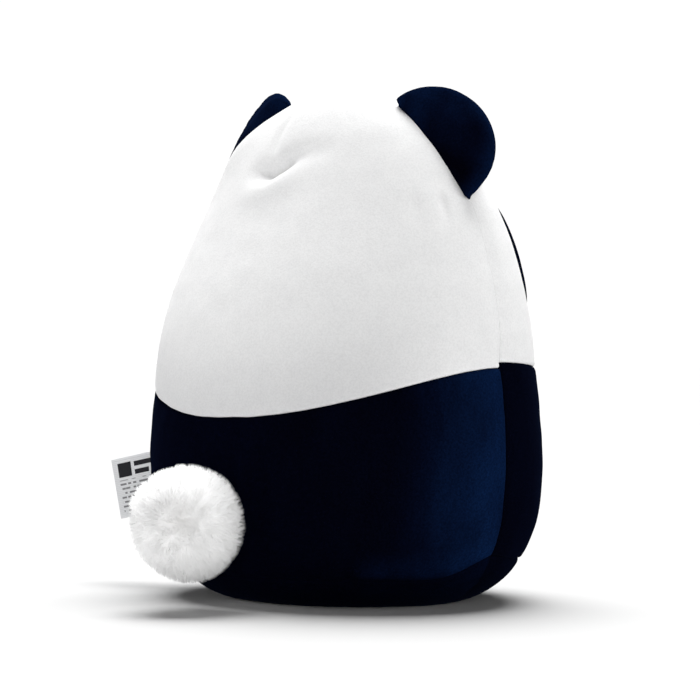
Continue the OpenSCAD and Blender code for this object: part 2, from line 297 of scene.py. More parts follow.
def finish_material(add, colour, normal=None, roughness=1.0, specular=0.05, sheen=0.0,
                    sheen_tint=(1, 1, 1), sheen_roughness=0.5):
    """The shader that ends every material."""
    inputs = {
        "Roughness": roughness,
        "Specular IOR Level": specular,
        "Sheen Weight": sheen,
        "Sheen Roughness": sheen_roughness,
        "Sheen Tint": (*sheen_tint, 1),
    }
    inputs["Base Color"] = colour if isinstance(colour, bpy.types.NodeSocket) else (*colour, 1)
    if normal is not None:
        inputs["Normal"] = normal
    shader = add("ShaderNodeBsdfPrincipled", inputs)
    add("ShaderNodeOutputMaterial", {"Surface": shader.outputs["BSDF"]})


def pile_normal(add, strength=0.35):
    """The fine bumpy surface of short pile, over soft patches where it lies differently."""
    patches = bump(add, grain(add, 220, 3, 0.55), 0.12 * strength / 0.35, 0.6 * MM)
    return bump(add, grain(add, 1500, 2, 0.6), strength, 0.25 * MM, patches)


def white_plush():
    """Velvety white pile. Where shade is painted in, it looks greyer."""
    material, add = new_material("white_plush")
    painted_shading_and_tone = add("ShaderNodeAttribute", attribute_name="painted_shading_and_tone").outputs["Fac"]
    # Painted shade: the white pile turns greyer where shade is painted in.
    painted_shade = mix(add, painted_shading_and_tone, (1, 1, 1), (0.84, 0.84, 0.845))
    mottle = grain(add, 150, 4, 0.6)
    colour = ramp(add, mottle, [(0.3, (0.855, 0.855, 0.858)), (0.7, (0.885, 0.885, 0.886))])
    fibres = ramp(add, grain(add, 1300, 2, 0.7), [(0.35, (0.93, 0.93, 0.93)), (0.6, (1, 1, 1))])
    piled = mix(add, 1.0, mix(add, 1.0, colour, fibres, "MULTIPLY"), painted_shade, "MULTIPLY")
    finish_material(add, piled, pile_normal(add), sheen=0.08)
    return material


def navy_plush():
    """Velvety navy pile. Where light is painted in, it looks lighter: a painted highlight where the light
    catches the pile.
    """
    deep, lit = (0.0009, 0.0008, 0.003), (0.0038, 0.0165, 0.066)
    material, add = new_material("navy_plush")
    painted_shading_and_tone = add("ShaderNodeAttribute", attribute_name="painted_shading_and_tone").outputs["Fac"]
    streaks = ramp(add, grain(add, 60, 4, 0.6, (1, 1, 0.35)), [(0.3, (0.35,) * 3), (0.7, (1.0,) * 3)])
    light = mix(add, 1.0, mix(add, painted_shading_and_tone, (0, 0, 0), (1, 1, 1)), streaks, "MULTIPLY")
    # Painted light: from deep navy to the lit blue, as much as light is painted in.
    colour = ramp(add, light, [(0.0, deep), (1.0, lit)])
    fibres = ramp(add, grain(add, 1300, 2, 0.7), [(0.35, (0.7,) * 3), (0.65, (1.25,) * 3)])
    finish_material(
        add,
        mix(add, 1.0, colour, fibres, "MULTIPLY"),
        pile_normal(add, 0.45),
        specular=0.0,
        sheen=0.012,
        sheen_tint=(0.25, 0.4, 1.0),
        sheen_roughness=0.35,
    )
    return material


def fur_material():
    """Long white pile. Where shade is painted in, the roots look shaded and beige."""
    material, add = new_material("white_fur")
    painted_shading_and_tone = add("ShaderNodeAttribute", attribute_name="painted_shading_and_tone").outputs["Fac"]
    colour = mix(add, painted_shading_and_tone, (0.99, 0.99, 0.99), (0.93, 0.90, 0.87))
    # Light passes between the fine white hairs again and again, which a little glow stands for.
    shader = add("ShaderNodeBsdfPrincipled", {
        "Base Color": colour,
        "Roughness": 0.9,
        "Specular IOR Level": 0.1,
        "Emission Color": (1, 1, 1, 1),
        "Emission Strength": 0.11,
    })
    glow = add("ShaderNodeBsdfTranslucent", {"Color": colour})
    both = add("ShaderNodeMixShader", {"Fac": 0.12, 1: shader.outputs["BSDF"], 2: glow.outputs["BSDF"]})
    add("ShaderNodeOutputMaterial", {"Surface": both.outputs["Shader"]})
    return material


def fibre_material():
    """Loose white filling."""
    material, add = new_material("fibre_fill")
    colour = ramp(add, grain(add, 300, 5, 0.7), [(0.3, (0.8, 0.8, 0.78)), (0.7, (0.93, 0.93, 0.91))])
    finish_material(add, colour, bump(add, grain(add, 500, 5, 0.75), 0.6, 1.0 * MM))
    return material


def striped_material(name, colour, wave, direction, dark, light_from, strength, depth, roughness):
    """Thread, with fine grooves across direction, painted dark times as bright as the thread: painted shade
    in the grooves.
    """
    material, add = new_material(name)
    wave = {"Vector": object_place(add), **wave}
    grooves = add("ShaderNodeTexWave", wave, bands_direction=direction).outputs["Fac"]
    # Painted shade: the grooves are painted darker than the thread.
    shade = ramp(add, grooves, [(0.0, tuple(dark * c for c in colour)), (light_from, colour)])
    finish_material(add, shade, bump(add, grooves, strength, depth), roughness=roughness, specular=0.15)
    return material


def thread_material(name, colour):
    """Twisted sewing thread."""
    twist = {"Scale": 900.0, "Distortion": 2.0}
    return striped_material(name, colour, twist, "DIAGONAL", 0.6, 1.0, 0.5, 0.1 * MM, 0.6)


def embroidery_material(name, colour):
    """Satin stitch: fine parallel threads that run across."""
    threads = {"Scale": 820.0, "Distortion": 0.6, "Detail": 1.0}
    return striped_material(name, colour, threads, "Z", 0.55, 0.5, 0.6, 0.15 * MM, 0.5)


def ribbon_material(length, width):
    """Satin ribbon with plain grey bars in place of print. Its UVs are in metres."""
    material, add = new_material("satin_ribbon")
    place = add("ShaderNodeTexCoord").outputs["UV"]
    parts = add("ShaderNodeSeparateXYZ", {"Vector": place})
    u, v = parts.outputs["X"], parts.outputs["Y"]

    def maths(operation, a, b=0.0, c=0.0):
        return add("ShaderNodeMath", {0: a, 1: b, 2: c}, operation=operation).outputs[0]

    def between(value, low, high):
        return maths("MULTIPLY", maths("GREATER_THAN", value, low), maths("LESS_THAN", value, high))

    def rectangle(u_low, u_high, v_low, v_high):
        return maths("MULTIPLY", between(u, u_low, u_high), between(v, v_low, v_high))

    def words(pitch, height, seed):
        """Rows of short bars, broken unevenly into words."""
        rows = maths("DIVIDE", v, pitch)
        row = maths("MULTIPLY", maths("FLOOR", rows), 7.31)
        spot = add("ShaderNodeCombineXYZ", {"X": maths("MULTIPLY", u, 620.0), "Y": row, "Z": seed})
        letters = {"Vector": spot.outputs["Vector"], "Scale": 1.0, "Detail": 0.0}
        gaps = add("ShaderNodeTexNoise", letters).outputs["Fac"]
        in_row = between(maths("FRACT", rows), 0.5 - height / 2, 0.5 + height / 2)
        return maths("MULTIPLY", maths("GREATER_THAN", gaps, 0.43), in_row)

    inset = 2.2 * MM
    outer, top = length - inset, width - inset
    bars_end = length - 9.6 * MM
    # A square and two bars stand where a label has its marks, and rows of bars where it has text.
    square = rectangle(length - 8.2 * MM, outer, top - 6 * MM, top)
    upper_bar = rectangle(length - 18 * MM, bars_end, top - 2.3 * MM, top - 0.3 * MM)
    lower_bar = rectangle(length - 16 * MM, bars_end, top - 5.7 * MM, top - 3.7 * MM)
    marks = maths("MAXIMUM", square, maths("MAXIMUM", upper_bar, lower_bar))
    text = maths("MULTIPLY", words(1.85 * MM, 0.42, 3.0), rectangle(4 * MM, outer, inset, top - 7.2 * MM))
    ink = maths("MINIMUM", maths("ADD", marks, maths("MULTIPLY", text, 0.72)), 1.0)
    weave = add("ShaderNodeTexWave", {"Vector": place, "Scale": 420.0, "Distortion": 0.3},
                bands_direction="Y").outputs["Fac"]
    # Painted shade: the weave is painted a little darker in its grooves.
    cloth = ramp(add, weave, [(0.0, (0.72, 0.725, 0.74)), (1.0, (0.82, 0.825, 0.84))])
    colour = mix(add, ink, cloth, (0.012, 0.012, 0.016))
    finish_material(add, colour, bump(add, weave, 0.25, 0.1 * MM), roughness=0.45, specular=0.2)
    return material


FINISHES = {
    "white_plush": white_plush(),
    "navy_plush": navy_plush(),
    "white_fur": fur_material(),
    "fibre_fill": fibre_material(),
    "navy_thread": thread_material("navy_thread", (0.006, 0.009, 0.03)),
    "white_thread": thread_material("white_thread", (0.85, 0.85, 0.85)),
    "white_embroidery": embroidery_material("white_embroidery", (0.86, 0.86, 0.86)),
    "dark_embroidery": embroidery_material("dark_embroidery", (0.008, 0.008, 0.014)),
    "satin_ribbon": ribbon_material(LABEL_LENGTH, LABEL_WIDTH),
}


def named(node):
    """The name of the piece that stands for a CAD node."""
    return f"{node}_piece"


def register(piece, slot, *nodes):
    """Hides the CAD nodes that a piece stands for."""
    if nodes:
        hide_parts(*nodes)


def place_piece(piece, body, slot, *nodes):
    """Makes a piece ride on its body, and registers it."""
    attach(piece, body)
    register(piece, slot, *nodes)
    return piece


def joint(name):
    """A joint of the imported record."""
    return next(found for found in frame["record"]["behaviour"]["joints"] if found["name"] == name)


# ---------------------------------------------------------------- the body's form


def node_points(name):
    """The points of a CAD node."""
    return coordinates(frame["nodes"][name].data)


def node_tree(*names):
    """A search tree over the faces of CAD nodes."""
    points, faces = [], []
    for name in names:
        mesh = frame["nodes"][name].data
        start = len(points)
        points += [vertex.co.copy() for vertex in mesh.vertices]
        faces += [[start + i for i in polygon.vertices] for polygon in mesh.polygons]
    return BVHTree.FromPolygons(points, faces)


def from_angles(azimuth, elevation):
    """Unit vectors at an azimuth (0 at +X, 90 at the back) and elevation, in degrees."""
    a, e = np.radians(azimuth), np.radians(elevation)
    a, e = np.broadcast_arrays(a, e)
    return np.stack([np.cos(e) * np.cos(a), np.cos(e) * np.sin(a), np.sin(e)], axis=-1)


def measured_radius(directions):
    """How far the outside of the CAD panels is from the centre. In the grooves between
    panels the filling is measured instead."""
    panels = node_tree("face_panel", "back_head_panel", "front_body_panel", "back_body_panel", "base_panel")
    filling = node_tree("body_stuffing")
    under = 2.8 * MM  # from the outside of the fabric to the filling
    start = 0.3
    found = []
    for d in directions:
        origin = Vector(CENTRE + start * d)
        hits = [tree.ray_cast(origin, Vector(-d))[3] for tree in (panels, filling)]
        depth = [start - hit if hit is not None else 0.0 for hit in hits]
        found.append(max(depth[0], depth[1] + under))
    return np.array(found)


def averaged(values, edges, rounds):
    """Values at mesh points, blurred along the edges."""
    a, b = edges[:, 0], edges[:, 1]
    size = len(values)
    degree = np.bincount(a, minlength=size) + np.bincount(b, minlength=size)
    for _ in range(rounds):
        total = np.bincount(a, values[b], size) + np.bincount(b, values[a], size)
        values = 0.5 * values + 0.5 * total / degree
    return values


def ball(subdivisions):
    """Points, faces and edges of an even ball of triangles with radius 1."""
    shape = bmesh.new()
    bmesh.ops.create_icosphere(shape, subdivisions=subdivisions, radius=1)
    points = np.array([vertex.co[:] for vertex in shape.verts])
    faces = np.array([[vertex.index for vertex in face.verts] for face in shape.faces])
    edges = np.array([[vertex.index for vertex in edge.verts] for edge in shape.edges])
    shape.free()
    return points, faces, edges


def blown_up(points, faces, pinned, pressure, cap, frames=18):
    """The points of a closed cloth after its filling has blown it up, moved by at most cap.
    pinned is how firmly each point is held, from 0 to 1."""
    piece = mesh_object("cloth", points, faces)
    group = piece.vertex_groups.new(name="pin")
    for index in np.nonzero(pinned > 0.02)[0]:
        group.add([int(index)], float(min(pinned[index], 1.0)), "REPLACE")
    cloth = piece.modifiers.new("cloth", "CLOTH").settings
    cloth.vertex_group_mass = "pin"
    cloth.use_pressure = True
    cloth.uniform_pressure_force = pressure
    cloth.effector_weights.gravity = 0
    cloth.quality = 4
    cloth.mass = 0.2
    scene = bpy.context.scene
    for number in range(1, frames + 1):
        scene.frame_set(number)
    done = piece.evaluated_get(bpy.context.evaluated_depsgraph_get())
    moved = coordinates(done.data) - points
    scene.frame_set(1)
    bpy.data.objects.remove(piece, do_unlink=True)
    reach = np.linalg.norm(moved, axis=1, keepdims=True)
    return points + moved * np.minimum(1, cap / np.maximum(reach, 1e-9))


def denser(points, faces):
    """A search tree over a mesh after one smooth subdivision."""
    piece = mesh_object("denser", points, faces)
    piece.modifiers.new("smooth", "SUBSURF").levels = 1
    mesh = piece.evaluated_get(bpy.context.evaluated_depsgraph_get()).to_mesh()
    corners = [vertex.co.copy() for vertex in mesh.vertices]
    tree = BVHTree.FromPolygons(corners, [list(polygon.vertices) for polygon in mesh.polygons])
    bpy.data.objects.remove(piece, do_unlink=True)
    return tree


def seam_angles(node, closed=False):
    """A seam's elevation at each whole degree of azimuth, smoothed, from its CAD thread."""
    rays = node_points(node) - CENTRE
    azimuth = np.degrees(np.arctan2(rays[:, 1], rays[:, 0])) % 360
    elevation = np.degrees(np.arctan2(rays[:, 2], np.hypot(rays[:, 0], rays[:, 1])))
    order = np.argsort(azimuth)
    wide = np.arange(-20, 381)
    if closed:
        line = np.interp(wide, azimuth[order], elevation[order], period=360)
    else:
        line = np.interp(wide, azimuth[order], elevation[order])
    kernel = np.exp(-((np.arange(-9, 10) / 4.0) ** 2))
    return np.convolve(line, kernel / kernel.sum(), "same")[20:381]


BACK_WAIST = seam_angles("back_waist_thread")
FRONT_WAIST = seam_angles("front_waist_thread")
BASE_LINE = seam_angles("base_seam_thread", closed=True)
DEGREES = np.arange(361)


def on_line(line, azimuth):
    """A seam's elevation at any azimuth from 0 to 360."""
    return np.interp(azimuth, DEGREES, line)


def on_form(directions, tree):
    """Points of the form in the given directions from the centre."""
    origin = Vector(CENTRE)
    hits = [tree.ray_cast(origin, Vector(d))[0] for d in directions.reshape(-1, 3)]
    return np.array([hit[:] for hit in hits]).reshape(directions.shape)


def seam_paths(tree):
    """The seams as paths on the form, by name."""
    back, front, round_it = np.arange(0, 181, 1.5), np.arange(180, 361, 1.5), np.arange(0, 361, 1.5)
    rise = np.linspace(0, 1, 60)
    left = from_angles(0, BASE_LINE[0] + (90 - BASE_LINE[0]) * rise)
    right = from_angles(180, BASE_LINE[180] + (90 - BASE_LINE[180]) * rise)
    return {
        "back_waist": on_form(from_angles(back, on_line(BACK_WAIST, back)), tree),
        "front_waist": on_form(from_angles(front, on_line(FRONT_WAIST, front)), tree),
        "base": on_form(from_angles(round_it, on_line(BASE_LINE, round_it)), tree),
        "side": on_form(np.concatenate([left, right[-2::-1]]), tree),
    }


PUFF = 2.0 * MM       # how far the filling may push the fabric out
GROWTH = 0.8 * MM     # makes up for what the blur takes from the round sides
ball_points, ball_faces, ball_edges = ball(6)
radius = averaged(measured_radius(ball_points), ball_edges, 14) + GROWTH
form_points = CENTRE + radius[:, None] * ball_points
form_points[:, 2] = np.maximum(form_points[:, 2], 0)
seams = seam_paths(denser(form_points, ball_faces))
held = np.zeros(len(form_points))
for path in seams.values():
    held = np.maximum(held, np.exp(-((path_distance(form_points, path)[0] / (5 * MM)) ** 2)))
held = np.maximum(held, form_points[:, 2] < 2 * MM)
form_points = blown_up(form_points, ball_faces, held, 3.0, PUFF)
form_points[:, 2] = np.maximum(form_points[:, 2], 0)
form = denser(form_points, ball_faces)
seams = seam_paths(form)


def on_back(x, z):
    """The point of the form's back at x and z, or the first one inwards of there."""
    place = None
    while place is None:
        place = form.ray_cast(Vector((x, 0.3, z)), Vector((0, -1, 0)))[0]
        x, z = 0.99 * x, z - 0.2 * MM
    return np.array(place[:])


def on_face(x, z):
    """The point of the form's front at x and z, and its normal."""
    place, normal, _, _ = form.ray_cast(Vector((x, -0.3, z)), Vector((0, 1, 0)))
    return np.array(place[:]), np.array(normal[:])


# Creases in the back: (x, z, depth) along each, and its width, in millimetres.
BACK_CREASES = [
    # the fold below the left ear, where the filling is thin
    ([(18, 166, 1.0), (12, 165, 3.6), (6.5, 165, 5.6), (1.5, 168, 4.8), (-3.5, 171, 2.6), (-12, 172.5, 1.4),
      (-22, 173, 0.0)], 3.4),
    ([(15, 157, -0.9), (5, 157, -1.6), (-5, 160.5, -1.2), (-12, 164, 0.0)], 5.0),
    # the left side is full below the ear, and flatter further down
    ([(43, 167, -0.8), (37, 175, -3.4), (29, 183, -1.4)], 9),
    ([(50, 158, 0.3), (54, 150, 1.0), (57, 138, 1.3), (63, 120, 0.3)], 14),
    # the dart down from the crown
    ([(7.5, 190, 0.3), (9.5, 184, 0.8), (10.2, 179, 1.1), (9.6, 174.5, 1.5), (8.2, 171, 1.0)], 2.6),
    # the pinch where the crown was gathered
    ([(-11, 197.2, 3.6), (-15, 195.5, 3.0), (-20, 192.5, 0.8)], 2.3),
    # pulls below the right ear's tip
    ([(-62, 152.5, 1.1), (-65, 146, 0.8), (-66.5, 140, 0.0)], 1.8),
    ([(-52, 158, 0.0), (-57, 150, 0.5), (-60, 141, 0.0)], 3.2),
]
CROWN_DART = 4              # which of them is the crown's dart
for side in (1, -1):
    # the ends of a front and a back panel gather where four of them meet
    BACK_CREASES.append(([(side * 79, 86, 0.7), (side * 70, 80, 0.35), (side * 58, 77, 0.0)], 3.0))


def crease_paths():
    """Each crease as a path on the form, with its depth along it and its width."""
    made = []
    for stations, width in BACK_CREASES:
        path = np.array([on_back(x * MM, z * MM) for x, z, _ in stations])
        made.append((path, np.array([depth for _, _, depth in stations]) * MM, width * MM))
    # the two darts that rise from the base seam behind
    for azimuth in (45, 135):
        low = on_line(BASE_LINE, azimuth)
        path = on_form(from_angles(azimuth, np.array([low, low + 3, low + 7])), form)
        made.append((path, np.array([2.2, 1.8, 0.2]) * MM, 2.2 * MM))
    return made


creases = crease_paths()

ROLL = 1.5 * MM            # how far from a seam the fabric starts to turn in
ROLL_DEPTH = 1.3 * MM
VALLEY = 0.7 * MM          # the soft dip on both sides of a seam
VALLEY_WIDTH = 6 * MM
PUCKER = 0.5 * MM          # height of the puckers along the seams
PRESSED = 94 * MM, 112 * MM   # between these heights the side seams start to lie flat
LUMP, LUMP_SIZE = 0.45 * MM, 34 * MM        # broad lumps of the filling
RIPPLE, RIPPLE_SIZE = 0.22 * MM, 15 * MM    # smaller ones, which are wider than they are high


def seam_relief(points, path, seed):
    """Height of the fabric beside a seam: it rolls in, dips softly and puckers."""
    away, along = path_distance(points, path)
    turned = np.clip(1 - away / ROLL, 0, 1)
    rolled = ROLL_DEPTH * (1 - np.sqrt(1 - turned**2 * 0.999))
    sharp, soft = np.exp(-away / VALLEY_WIDTH), np.exp(-((away / VALLEY_WIDTH) ** 2))
    # The head's side seams are pressed flatter and softer than the others.
    flat = smoothstep(points[:, 2], *PRESSED)
    height = -rolled * (1 - 0.94 * flat) - VALLEY * (sharp * (1 - flat) + soft * flat)
    near = away < 40 * MM
    away, along = away[near], along[near]
    spots = np.stack([along / (7 * MM), away / (22 * MM), np.full_like(away, seed)], axis=-1)
    fine = np.stack([along / (2.6 * MM), away / (8 * MM), np.full_like(away, seed + 9)], axis=-1)
    pucker = noise_at(spots, 1.0) * np.exp(-away / (9 * MM))
    pucker += 0.35 * noise_at(fine, 1.0) * np.exp(-away / (3 * MM))
    height[near] += PUCKER * pucker * smoothstep(away, 0, 2 * MM)
    return height


def relief(points):
    """Height of the fabric over the form, from seams, creases and lumps."""
    height = LUMP * noise_at(points, LUMP_SIZE, 1.0)
    height += RIPPLE * noise_at(points * [1, 1, 1.9], RIPPLE_SIZE, 5.0)
    for number, path in enumerate(seams.values()):
        height += seam_relief(points, path, 3.7 * number)
    for path, depths, width in creases:
        near = np.linalg.norm(points - path.mean(axis=0), axis=1) < 55 * MM
        height[near] -= crease_depth(points[near], path, depths, width)
    return height


def crease_depth(points, path, depths, width):
    """Depth of a crease at points: the smooth maximum of round dents along its path."""
    steps = walked(path)
    places = np.arange(0, steps[-1] + width / 2, width / 2)
    total = np.zeros(len(points))
    for centre, depth in zip(along_path(path, places), np.interp(places, steps, depths)):
        away = ((points - centre) ** 2).sum(axis=1)
        total += (depth * np.exp(-away / width**2)) ** 4
    # Neighbouring dents overlap, which makes the crease this many times too deep.
    overlap = 1.153
    return math.copysign(1, depths.sum()) * total**0.25 / overlap


def build_panel(name, azimuths, low, high, rows, slot, wrap=False):
    """A fabric panel laid on the form between two seams, as functions of azimuth."""
    share = rows[:, None]
    elevation = low(azimuths)[None] * (1 - share) + high(azimuths)[None] * share
    base = on_form(from_angles(np.broadcast_to(azimuths, elevation.shape), elevation), form)
    normals = grid_normals(base, wrap)
    # Both panels of a seam are lifted the same way along it, so that no gap opens.
    points = base.reshape(-1, 3)
    away = np.min([path_distance(points, path)[0] for path in seams.values()], axis=0)
    near = np.exp(-((away / (2 * MM)) ** 2)).reshape(elevation.shape)[..., None]
    normals = unit(normals * (1 - near) + unit(base - CENTRE) * near)
    grid = base + relief(points).reshape(elevation.shape)[..., None] * normals
    grid[..., 2] = np.maximum(grid[..., 2], 0)
    piece = shell_mesh(named(name), grid, FABRIC, slot, wrap)
    place_piece(piece, "body", slot, name)
    return piece


def from_line(line):
    """A panel's edge along a seam."""
    return lambda azimuths: on_line(line, azimuths)


def at_pole(elevation):
    """A panel's edge where it closes, at the crown or under the middle of the base."""
    return lambda azimuths: np.full_like(azimuths, elevation)


FABRIC = 0.9 * MM
behind, before = 180 * crowded(200), 180 + 180 * crowded(200)
all_round = np.linspace(0, 360, 480, endpoint=False)
head_rows, body_rows, base_rows = crowded(112, ends=1), crowded(62), 1 - crowded(50, ends=1)[::-1]
crown, underside = at_pole(90.0), at_pole(-90.0)
back_waist, front_waist, base_line = [from_line(line) for line in (BACK_WAIST, FRONT_WAIST, BASE_LINE)]
back_head = build_panel("back_head_panel", behind, back_waist, crown, head_rows, "white_plush")
build_panel("face_panel", before, front_waist, crown, head_rows, "white_plush")
back_body = build_panel("back_body_panel", behind, base_line, back_waist, body_rows, "navy_plush")
front_body = build_panel("front_body_panel", before, base_line, front_waist, body_rows, "navy_plush")
base = build_panel("base_panel", all_round, underside, base_line, base_rows, "navy_plush", wrap=True)


def paint_light_and_shade():
    """Paints light and shade into the fabric. On the navy back a painted highlight runs along the side seams.
    """
    for piece, strength in ((back_body, 1.0), (front_body, 0.0), (base, 0.15)):
        points = coordinates(piece.data)
        azimuth = np.degrees(np.arctan2(points[:, 1], points[:, 0]))
        from_side = np.minimum(np.abs(azimuth), np.abs(180 - azimuth))
        lit = (1 - smoothstep(from_side, 2, 42)) ** 1.8
        patches = 0.75 + 0.35 * noise_at(points, 30 * MM, 5.0)
        # It also catches light where it rolls over the base seam.
        from_base = path_distance(points, seams["base"])[0]
        rolled = smoothstep(from_base, 1 * MM, 4 * MM) * (1 - smoothstep(from_base, 5 * MM, 16 * MM))
        rolled *= 0.22 * (1 - smoothstep(from_side, 38, 46))
        # Painted highlight on the navy pile along the side seams and over the base seam.
        paint(piece, strength * np.minimum(lit * patches + rolled, 1) + 0.05)
    # Painted shade: the white back is painted greyer towards the middle of the waist seam.
    points = coordinates(back_head.data)
    from_waist = path_distance(points, seams["back_waist"])[0]
    from_side = 90 - np.abs(np.degrees(np.arctan2(points[:, 1], points[:, 0])) - 90)
    paint(back_head, (1 - smoothstep(from_waist, 2 * MM, 36 * MM)) * smoothstep(from_side, 8, 50))


paint_light_and_shade()

# The filling lies a little inside the fabric, so that no dent shows it.
fill_points = CENTRE + (form_points - CENTRE) * 0.93
fill_points += (0.8 * MM * noise_at(fill_points, 9 * MM))[:, None] * ball_points
filling = mesh_object(named("body_stuffing"), fill_points, ball_faces, "fibre_fill")
place_piece(filling, "body", "fibre_fill", "body_stuffing")

# ---------------------------------------------------------------- threads

THREAD = 0.35 * MM
STITCH = 3.0 * MM
DART_DEPTH = 1.1 * MM      # how far a dart's thread lies under the fabric


def sunk(path, depth):
    """A path on the form, sunk by depth towards the centre."""
    return path - np.asarray(depth)[..., None] * unit(path - CENTRE)


def stitched(path, depth=0.6 * MM):
    """A seam's thread, depth under the fabric: it dips at every stitch."""
    places = np.arange(0, walked(path)[-1], STITCH / 6)
    fine = along_path(path, places)
    # It lies deeper at the crown, where the fabric is gathered.
    depth = depth + 0.9 * MM * smoothstep(fine[:, 2], 188 * MM, 196 * MM)
    return sunk(fine, depth - relief(fine) + 0.15 * MM * np.cos(2 * math.pi * places / STITCH))


def thread_piece(name, paths, radius=THREAD, slot="navy_thread"):
    """Threads along paths on the body, in place of a CAD node."""
    points, faces = tube_mesh(paths, radius)
    place_piece(mesh_object(named(name), points, faces, slot), "body", slot, name)


for node, name in (("side_seam_thread", "side"), ("front_waist_thread", "front_waist"),
                   ("back_waist_thread", "back_waist"), ("base_seam_thread", "base")):
    thread_piece(node, [stitched(seams[name])])
crown_dart, base_darts = creases[CROWN_DART][0], [made[0] for made in creases[-2:]]
thread_piece("crown_dart_thread", [stitched(crown_dart, DART_DEPTH)], slot="white_thread")
thread_piece("base_dart_threads", [stitched(path, DART_DEPTH) for path in base_darts])


def closing_stitches():
    """Hand stitches across the base seam in front, where the toy was closed."""
    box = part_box("closing_stitches")
    reach = math.degrees(math.atan2(box[1][0], -box[0][1]))
    paths = []
    for azimuth in np.linspace(270 - reach, 270 + reach, 13):
        middle = on_line(BASE_LINE, azimuth)
        across = np.array([-1.2, -0.9, -0.45, 0, 0.45, 0.9, 1.2])
        depth = np.array([1.1, 0.35, 0, -0.1, 0, 0.35, 1.1]) * MM
        path = on_form(from_angles(azimuth + 0.3 * across, middle + across), form)
        paths.append(sunk(path, depth - relief(path)))
    thread_piece("closing_stitches", paths)


closing_stitches()

# ---------------------------------------------------------------- ears

EAR_HALF = 25.3 * MM        # half the length of the sewn line
EAR_RAISE = {"left": 4.2 * MM, "right": 0.4 * MM}   # its middle is this far above the fold's
EAR_PIVOT = 5.96 * MM       # from the line between the tips to the fold
EAR_REACH = {"left": 24.5 * MM, "right": 23.4 * MM}
EAR_LEAN = {"left": math.radians(38), "right": math.radians(34)}
EAR_PUFF = 4.75 * MM
EAR_FOOT = 4.6 * MM         # half the width of the ear where it meets the head
EAR_SWELL = 4.56 * MM       # how far the head swells out past the line between the tips
EAR_FABRIC = 0.7 * MM
EAR_COLUMNS = 90
EAR_FILL = 0.7              # share of the room between the sheets that the stuffing takes
EAR_FILL_INSET = 0.12       # share of the way to the ear's middle that it keeps from the rim

ear_joint = joint("left_ear_fold")
ear_along = np.array(ear_joint["axis"])
ear_out = np.array([-ear_along[2], 0, ear_along[0]])
ear_fold = np.array(ear_joint["pos_m"])
FORWARD = np.array([0, -1.0, 0])


def ear_place(u, v, w, lean):
    """From flat ear coordinates to the left ear: u along the seam, v out, w forward."""
    out = (v - EAR_PIVOT) * math.cos(lean) - w * math.sin(lean)
    forward = (v - EAR_PIVOT) * math.sin(lean) + w * math.cos(lean)
    return ear_fold + u[..., None] * ear_along + out[..., None] * ear_out + forward[..., None] * FORWARD


def ear_sheet(front, lean, raised, reach):
    """One side of an ear as a grid, from the head to the rim, on the left of the head."""
    sign = 1 if front else -1
    upper_end = math.copysign(1, -ear_along[2])
    turn = math.pi * np.linspace(0, 1, EAR_COLUMNS)[None]
    low = np.linspace(0, 0.5, 14)
    bend = np.linspace(math.asin(0.5 ** 1.6), math.pi / 2, 22)[1:]
    share = np.concatenate([low, np.sin(bend) ** 0.625])[:, None]
    u = -EAR_HALF * np.cos(turn) * np.ones_like(share) - upper_end * raised
    arch = np.sin(turn)
    swell = EAR_SWELL * arch**2
    # The ear is a little fuller above its middle, and blunt at its lower end.
    upward = np.cos(turn) * upper_end
    rim = reach * np.where(upward > 0, arch, arch**0.86)
    v = swell + (rim - swell) * share
    w = EAR_PUFF * arch**0.6 * np.clip(1 - share**3.2, 0, 1) ** 0.6
    v = v - 0.55 * MM * np.exp(-((w / (0.7 * MM)) ** 2)) * arch**0.5
    # The rim's seam lies a little to the back, so the front fabric rolls over it.
    rolled = smoothstep(share, 0.55, 1.0) * arch**0.5
    if front:
        v = v + 1.0 * MM * arch**1.4 * np.exp(-(((share - 0.93) / 0.06) ** 2)) * (share < 1)
    w = sign * w - 1.6 * MM * rolled
    leaned = ear_place(u, v, w, lean)
    flat = leaned.reshape(-1, 3)
    lumps = 0.35 * MM * noise_at(flat, 11 * MM, 3.0 if front else 8.0)
    spots = np.stack(np.broadcast_arrays(14 * turn, 1.5 * share, float(sign)), axis=-1)
    puckers = 0.25 * MM * noise_at(spots.reshape(-1, 3), 1.0)
    fade = (np.clip(1 - share**8, 0, 1) * arch**0.5).ravel()
    rim_fade = (smoothstep(share, 0.55, 0.95) * arch**0.5).ravel()
    across = ear_place(u, v, w + sign * MM, lean).reshape(-1, 3) - flat
    height = lumps * fade + puckers * rim_fade
    leaned = (flat + unit(across) * height[:, None]).reshape(leaned.shape)
    # The sewn edge lies on the head, wider than the ear is thick.
    foot = ear_place(u[0], swell[0], sign * EAR_FOOT * arch[0] ** 1.2, 0.0)
    foot = sunk(on_form(unit(foot - CENTRE), form), 1.3 * MM)
    settle = smoothstep(share, 0, 0.42)[..., None]
    return foot[None] * (1 - settle) + leaned * settle


def paint_ear(piece, rim):
    """The pile catches light along the rim, and high up on the side of the crown."""
    points = coordinates(piece.data)
    high = smoothstep(points[:, 2], 165 * MM, 192 * MM)
    inner_side = smoothstep(np.abs(points[:, 0]), 72 * MM, 50 * MM)
    on_rim = np.exp(-((path_distance(points, rim)[0] / (3.5 * MM)) ** 2))
    paint(piece, 0.05 + 0.3 * inner_side * high + 0.35 * on_rim + 0.18 * noise_at(points, 11 * MM, 2.0))


